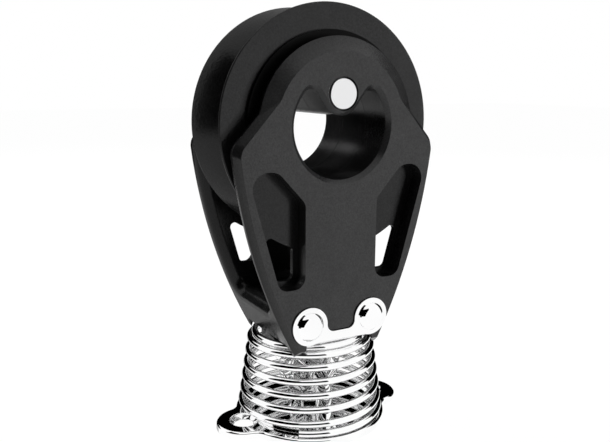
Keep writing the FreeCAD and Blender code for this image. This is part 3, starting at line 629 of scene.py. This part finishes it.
def spring_tree():
    """Geometry Nodes tree for a stretch of the conical spring, from one turn to another."""
    tree = bpy.data.node_groups.new("conical_spring", "GeometryNodeTree")
    sizes = {
        "Wire Radius": WIRE_RADIUS, "Bottom Radius": SPRING_RADIUS, "Taper": SPRING_TAPER,
        "Turns": SPRING_TURNS, "Start Angle": SPRING_START, "Bottom Height": BASE_TOP + WIRE_RADIUS,
        "Closed Turns Bottom": CLOSED_LOW, "Closed Turns Top": CLOSED_HIGH, "Closed Pitch Bottom": PITCH_LOW,
        "Closed Pitch Top": PITCH_HIGH, "Open Pitch": open_pitch(), "Nesting": NESTING,
        "First Turn": 0.0, "Last Turn": SPRING_TURNS,
    }
    for name, value in sizes.items():
        socket = tree.interface.new_socket(name, in_out="INPUT", socket_type="NodeSocketFloat")
        socket.default_value = value
    tree.interface.new_socket("Steps", in_out="INPUT", socket_type="NodeSocketInt")
    tree.interface.new_socket("Material", in_out="INPUT", socket_type="NodeSocketMaterial")
    tree.interface.new_socket("Geometry", in_out="OUTPUT", socket_type="NodeSocketGeometry")
    given = add(tree, "NodeGroupInput").outputs

    def calc(operation, first, second=0.0):
        return add(tree, "ShaderNodeMath", {0: first, 1: second}, operation=operation).outputs[0]

    line = add(tree, "GeometryNodeCurvePrimitiveLine").outputs[0]
    points = add(tree, "GeometryNodeResampleCurve", {"Curve": line, "Count": given["Steps"]}).outputs[0]
    share = add(tree, "GeometryNodeSplineParameter").outputs["Factor"]
    span = calc("SUBTRACT", given["Last Turn"], given["First Turn"])
    turn = calc("ADD", given["First Turn"], calc("MULTIPLY", share, span))
    top_start = calc("SUBTRACT", given["Turns"], given["Closed Turns Top"])
    open_turns = calc("SUBTRACT", top_start, given["Closed Turns Bottom"])
    first = calc("MINIMUM", turn, given["Closed Turns Bottom"])
    past = calc("SUBTRACT", turn, given["Closed Turns Bottom"])
    middle = calc("MINIMUM", calc("MAXIMUM", past, 0.0), open_turns)
    last = calc("MAXIMUM", calc("SUBTRACT", turn, top_start), 0.0)
    rise = calc("ADD", calc("MULTIPLY", first, given["Closed Pitch Bottom"]),
                calc("MULTIPLY", middle, given["Open Pitch"]))
    rise = calc("ADD", rise, calc("MULTIPLY", last, given["Closed Pitch Top"]))
    radius = calc("SUBTRACT", given["Bottom Radius"], calc("MULTIPLY", rise, given["Taper"]))
    radius = calc("SUBTRACT", radius, calc("MULTIPLY", last, given["Nesting"]))
    angle = calc("ADD", given["Start Angle"], calc("MULTIPLY", turn, 2 * math.pi))
    place = add(tree, "ShaderNodeCombineXYZ", {
        0: calc("MULTIPLY", radius, calc("COSINE", angle)),
        1: calc("MULTIPLY", radius, calc("SINE", angle)),
        2: calc("ADD", rise, given["Bottom Height"])}).outputs[0]
    coil = add(tree, "GeometryNodeSetPosition", {"Geometry": points, "Position": place}).outputs[0]
    coil = add(tree, "GeometryNodeSetCurveNormal", {"Curve": coil}, mode="Z_UP").outputs[0]
    coil = add(tree, "GeometryNodeStoreNamedAttribute", {"Geometry": coil, "Name": "turn_at", "Value": turn},
               data_type="FLOAT", domain="POINT").outputs[0]
    ring = add(tree, "GeometryNodeCurvePrimitiveCircle", {"Resolution": WIRE_SIDES,
                                                          "Radius": given["Wire Radius"]}).outputs[0]
    around = add(tree, "GeometryNodeInputPosition").outputs[0]
    around = add(tree, "ShaderNodeVectorMath", {0: around}, operation="NORMALIZE").outputs[0]
    ring = add(tree, "GeometryNodeStoreNamedAttribute", {"Geometry": ring, "Name": "round_at",
                                                         "Value": around},
               data_type="FLOAT_VECTOR", domain="POINT").outputs[0]
    wire = add(tree, "GeometryNodeCurveToMesh", {"Curve": coil, "Profile Curve": ring,
                                                 "Fill Caps": True}).outputs[0]
    turn_read = add(tree, "GeometryNodeInputNamedAttribute", {"Name": "turn_at"},
                    data_type="FLOAT").outputs[0]
    round_read = add(tree, "GeometryNodeInputNamedAttribute", {"Name": "round_at"},
                     data_type="FLOAT_VECTOR").outputs[0]
    parts = add(tree, "ShaderNodeSeparateXYZ", {0: round_read}).outputs
    along = calc("MULTIPLY", turn_read, DIE_LINE_PACE)
    wire_place = add(tree, "ShaderNodeCombineXYZ", {0: parts[0], 1: parts[1], 2: along}).outputs[0]
    wire = add(tree, "GeometryNodeStoreNamedAttribute", {"Geometry": wire, "Name": "wire_place",
                                                         "Value": wire_place},
               data_type="FLOAT_VECTOR", domain="POINT").outputs[0]
    wire = add(tree, "GeometryNodeSetShadeSmooth", {0: wire}).outputs[0]
    wire = add(tree, "GeometryNodeRealizeInstances", {0: wire}).outputs[0]
    wire = add(tree, "GeometryNodeSetMaterial", {0: wire, "Material": given["Material"]}).outputs[0]
    add(tree, "NodeGroupOutput", {0: wire})
    return tree


def open_pitch():
    """Rise per turn of the open coils, from the room between the closed ends."""
    room = STRAP_UNDERSIDE - SPRING_TOP_GAP - BASE_TOP - 2 * WIRE_RADIUS
    closed = CLOSED_LOW * PITCH_LOW + CLOSED_HIGH * PITCH_HIGH
    return (room - closed) / (SPRING_TURNS - CLOSED_LOW - CLOSED_HIGH)


def turn_at_height(height):
    """The turn at which the open coils reach a height."""
    above = height - BASE_TOP - WIRE_RADIUS - CLOSED_LOW * PITCH_LOW
    return CLOSED_LOW + above / open_pitch()


def spring_part(name, tree, first, last):
    """One stretch of the spring as a plain mesh."""
    piece = link(name, bpy.data.meshes.new(name))
    modifier = piece.modifiers.new("spring", "NODES")
    modifier.node_group = tree
    wanted = {"First Turn": first, "Last Turn": last, "Steps": round((last - first) * COIL_STEPS),
              "Material": materials["spring_steel"]}
    for item in tree.interface.items_tree:
        if item.in_out == "INPUT" and item.name in wanted:
            modifier[item.identifier] = wanted[item.name]
    bpy.context.view_layer.update()
    applied(piece)
    shape = bmesh.new()
    shape.from_mesh(piece.data)
    bmesh.ops.recalc_face_normals(shape, faces=shape.faces)
    shape.to_mesh(piece.data)
    shape.free()
    crisp(piece, angle_deg=40.0)
    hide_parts("spring")
    return piece


def make_spring():
    """The spring in two stretches, lower and upper, split at a middle height."""
    tree = spring_tree()
    middle = turn_at_height(SPRING_MIDDLE)
    lower = spring_part("spring_lower_coils", tree, 0.0, middle)
    upper = spring_part("spring_upper_coils", tree, middle, SPRING_TURNS)
    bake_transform(lower)
    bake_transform(upper)


def make_pieces():
    """Every piece that is seen, and the finish of the solids that are shown as they are."""
    dress_cheek("near_cheek")
    dress_cheek("far_cheek")
    dress("hub", FINE_EDGE)
    dress("strap", STEEL_EDGE)
    dress("base_plate", FINE_EDGE)
    dress("swivel_post", STEEL_EDGE)
    dress("shackle_pin", STEEL_EDGE)
    dress("swivel_nut", STEEL_EDGE)
    settle(make_sheave(), "sheave")
    settle(make_load_pin(), "load_pin")
    make_rivet(-1, "rivet_left", "left_rivet")
    make_rivet(1, "rivet_right", "right_rivet")
    make_bail()
    make_shackle()
    make_spring()
    for node in ("lower_washer", "upper_washer", "rollers", "roller_cage", "near_thrust_ring",
                 "far_thrust_ring"):
        set_material(frame["nodes"][node], materials[slot_of[node]])


def flag(tree, azimuth, elevation, centre_deg, half_deg, height_deg, half_height_deg, soft_deg, depth):
    """How much of the light a dark flag of the studio takes from a direction, from 0 to its depth."""
    def calc(operation, first, second=0.0, third=0.0):
        return add(tree, "ShaderNodeMath", {0: first, 1: second, 2: third}, operation=operation).outputs[0]

    def inside(distance, half):
        low = math.radians(half - soft_deg)
        high = math.radians(half + soft_deg)
        node = add(tree, "ShaderNodeMapRange", {0: distance, 1: low, 2: high, 3: 1.0, 4: 0.0},
                   interpolation_type="SMOOTHSTEP")
        return node.outputs[0]

    turn = calc("WRAP", calc("SUBTRACT", azimuth, math.radians(centre_deg)), math.pi, -math.pi)
    rise = calc("SUBTRACT", elevation, math.radians(height_deg))
    across = inside(calc("ABSOLUTE", turn), half_deg)
    along = inside(calc("ABSOLUTE", rise), half_height_deg)
    return calc("MULTIPLY", calc("MULTIPLY", across, along), depth)


def make_world():
    """White studio with dark flags, which reflections and the camera see. Matt surfaces get only a faint
    even light from it, besides the lamps. Azimuth is counted from +X to +Y."""
    world = bpy.data.worlds.new("studio")
    bpy.context.scene.world = world
    world.use_nodes = True
    tree = world.node_tree
    tree.nodes.clear()
    direction = add(tree, "ShaderNodeTexCoord").outputs["Generated"]
    parts = add(tree, "ShaderNodeSeparateXYZ", {0: direction}).outputs
    azimuth = add(tree, "ShaderNodeMath", {0: parts[1], 1: parts[0]}, operation="ARCTAN2").outputs[0]
    elevation = add(tree, "ShaderNodeMath", {0: parts[2]}, operation="ARCSINE").outputs[0]
    light = 1.0
    for turn, *size_and_depth in DARK_FLAGS.values():
        dark = flag(tree, azimuth, elevation, CAMERA_SIDE_DEG + turn, *size_and_depth)
        clear = add(tree, "ShaderNodeMath", {0: 1.0, 1: dark}, operation="SUBTRACT").outputs[0]
        light = add(tree, "ShaderNodeMath", {0: light, 1: clear}, operation="MULTIPLY").outputs[0]
    path = add(tree, "ShaderNodeLightPath").outputs
    not_glossy = add(tree, "ShaderNodeMath", {0: 1.0, 1: path["Is Glossy Ray"]},
                     operation="SUBTRACT").outputs[0]
    seen = add(tree, "ShaderNodeMath", {0: light, 1: not_glossy}, operation="MAXIMUM").outputs[0]
    shown = add(tree, "ShaderNodeBackground", {"Color": seen, "Strength": 1.0}).outputs[0]
    ambient = add(tree, "ShaderNodeBackground", {"Color": WHITE, "Strength": AMBIENT}).outputs[0]
    direct = add(tree, "ShaderNodeMath", {0: path["Is Camera Ray"], 1: path["Is Glossy Ray"]},
                 operation="MAXIMUM").outputs[0]
    direct = add(tree, "ShaderNodeMath", {0: direct, 1: path["Is Transmission Ray"]},
                 operation="MAXIMUM").outputs[0]
    mixed = add(tree, "ShaderNodeMixShader", {0: direct, 1: ambient, 2: shown}).outputs[0]
    add(tree, "ShaderNodeOutputWorld", {"Surface": mixed})


def make_floor():
    """White floor that keeps a faint shadow."""
    half = FLOOR_SIZE / 2
    mesh = bpy.data.meshes.new("floor")
    corners = [(-half, -half, 0), (half, -half, 0), (half, half, 0), (-half, half, 0)]
    mesh.from_pydata(corners, [], [(0, 1, 2, 3)])
    floor = link("floor", mesh)
    material = bpy.data.materials.new("floor_white")
    material.use_nodes = True
    tree = material.node_tree
    tree.nodes.clear()
    path = add(tree, "ShaderNodeLightPath").outputs
    seen = add(tree, "ShaderNodeMath", {0: path["Is Camera Ray"], 1: path["Is Glossy Ray"]},
               operation="MAXIMUM").outputs[0]
    share = add(tree, "ShaderNodeMath", {0: seen, 1: FLOOR_GLOW_SHARE}, operation="MULTIPLY").outputs[0]
    glow = add(tree, "ShaderNodeEmission", {"Color": WHITE, "Strength": FLOOR_GLOW}).outputs[0]
    matt = add(tree, "ShaderNodeBsdfDiffuse", {"Color": FLOOR_COLOUR}).outputs[0]
    mixed = add(tree, "ShaderNodeMixShader", {0: share, 1: matt, 2: glow}).outputs[0]
    add(tree, "ShaderNodeOutputMaterial", {"Surface": mixed})
    set_material(floor, material)
    floor.visible_glossy = False


def area_light(name, place, size, power):
    """A lamp that faces the block. Neither the camera nor a reflection sees it."""
    light = bpy.data.lights.new(name, "AREA")
    light.shape = "RECTANGLE"
    light.size = size[0]
    light.size_y = size[1]
    light.energy = power
    lamp = bpy.data.objects.new(name, light)
    lamp.location = place
    lamp.rotation_mode = "QUATERNION"
    lamp.rotation_quaternion = (Vector(place) - CAMERA_TARGET).to_track_quat("Z", "Y")
    lamp.visible_camera = False
    lamp.visible_glossy = False
    bpy.context.scene.collection.objects.link(lamp)


def make_lights():
    """A small key lamp low on the right, and two softer ones behind."""
    area_light("key", KEY_PLACE, KEY_SIZE, KEY_POWER)
    area_light("fill", FILL_PLACE, FILL_SIZE, FILL_POWER)
    area_light("back", BACK_PLACE, BACK_SIZE, BACK_POWER)


def make_camera():
    """The photograph's view."""
    data = bpy.data.cameras.new("camera")
    data.lens = CAMERA_LENS
    data.sensor_width = CAMERA_SENSOR
    data.clip_start = 0.01
    data.clip_end = 10.0
    camera = bpy.data.objects.new("camera", data)
    level = math.cos(CAMERA_ELEVATION)
    back = Vector((math.sin(CAMERA_AZIMUTH) * level, -math.cos(CAMERA_AZIMUTH) * level,
                   math.sin(CAMERA_ELEVATION)))
    camera.location = CAMERA_TARGET + back * CAMERA_DISTANCE
    camera.rotation_mode = "QUATERNION"
    camera.rotation_quaternion = (-back).to_track_quat("-Z", "Y") @ Quaternion((0.0, 0.0, 1.0), CAMERA_ROLL)
    bpy.context.scene.collection.objects.link(camera)
    bpy.context.scene.camera = camera


make_camera()
make_pieces()
make_world()
make_floor()
make_lights()
bpy.context.scene.view_settings.view_transform = "Standard"
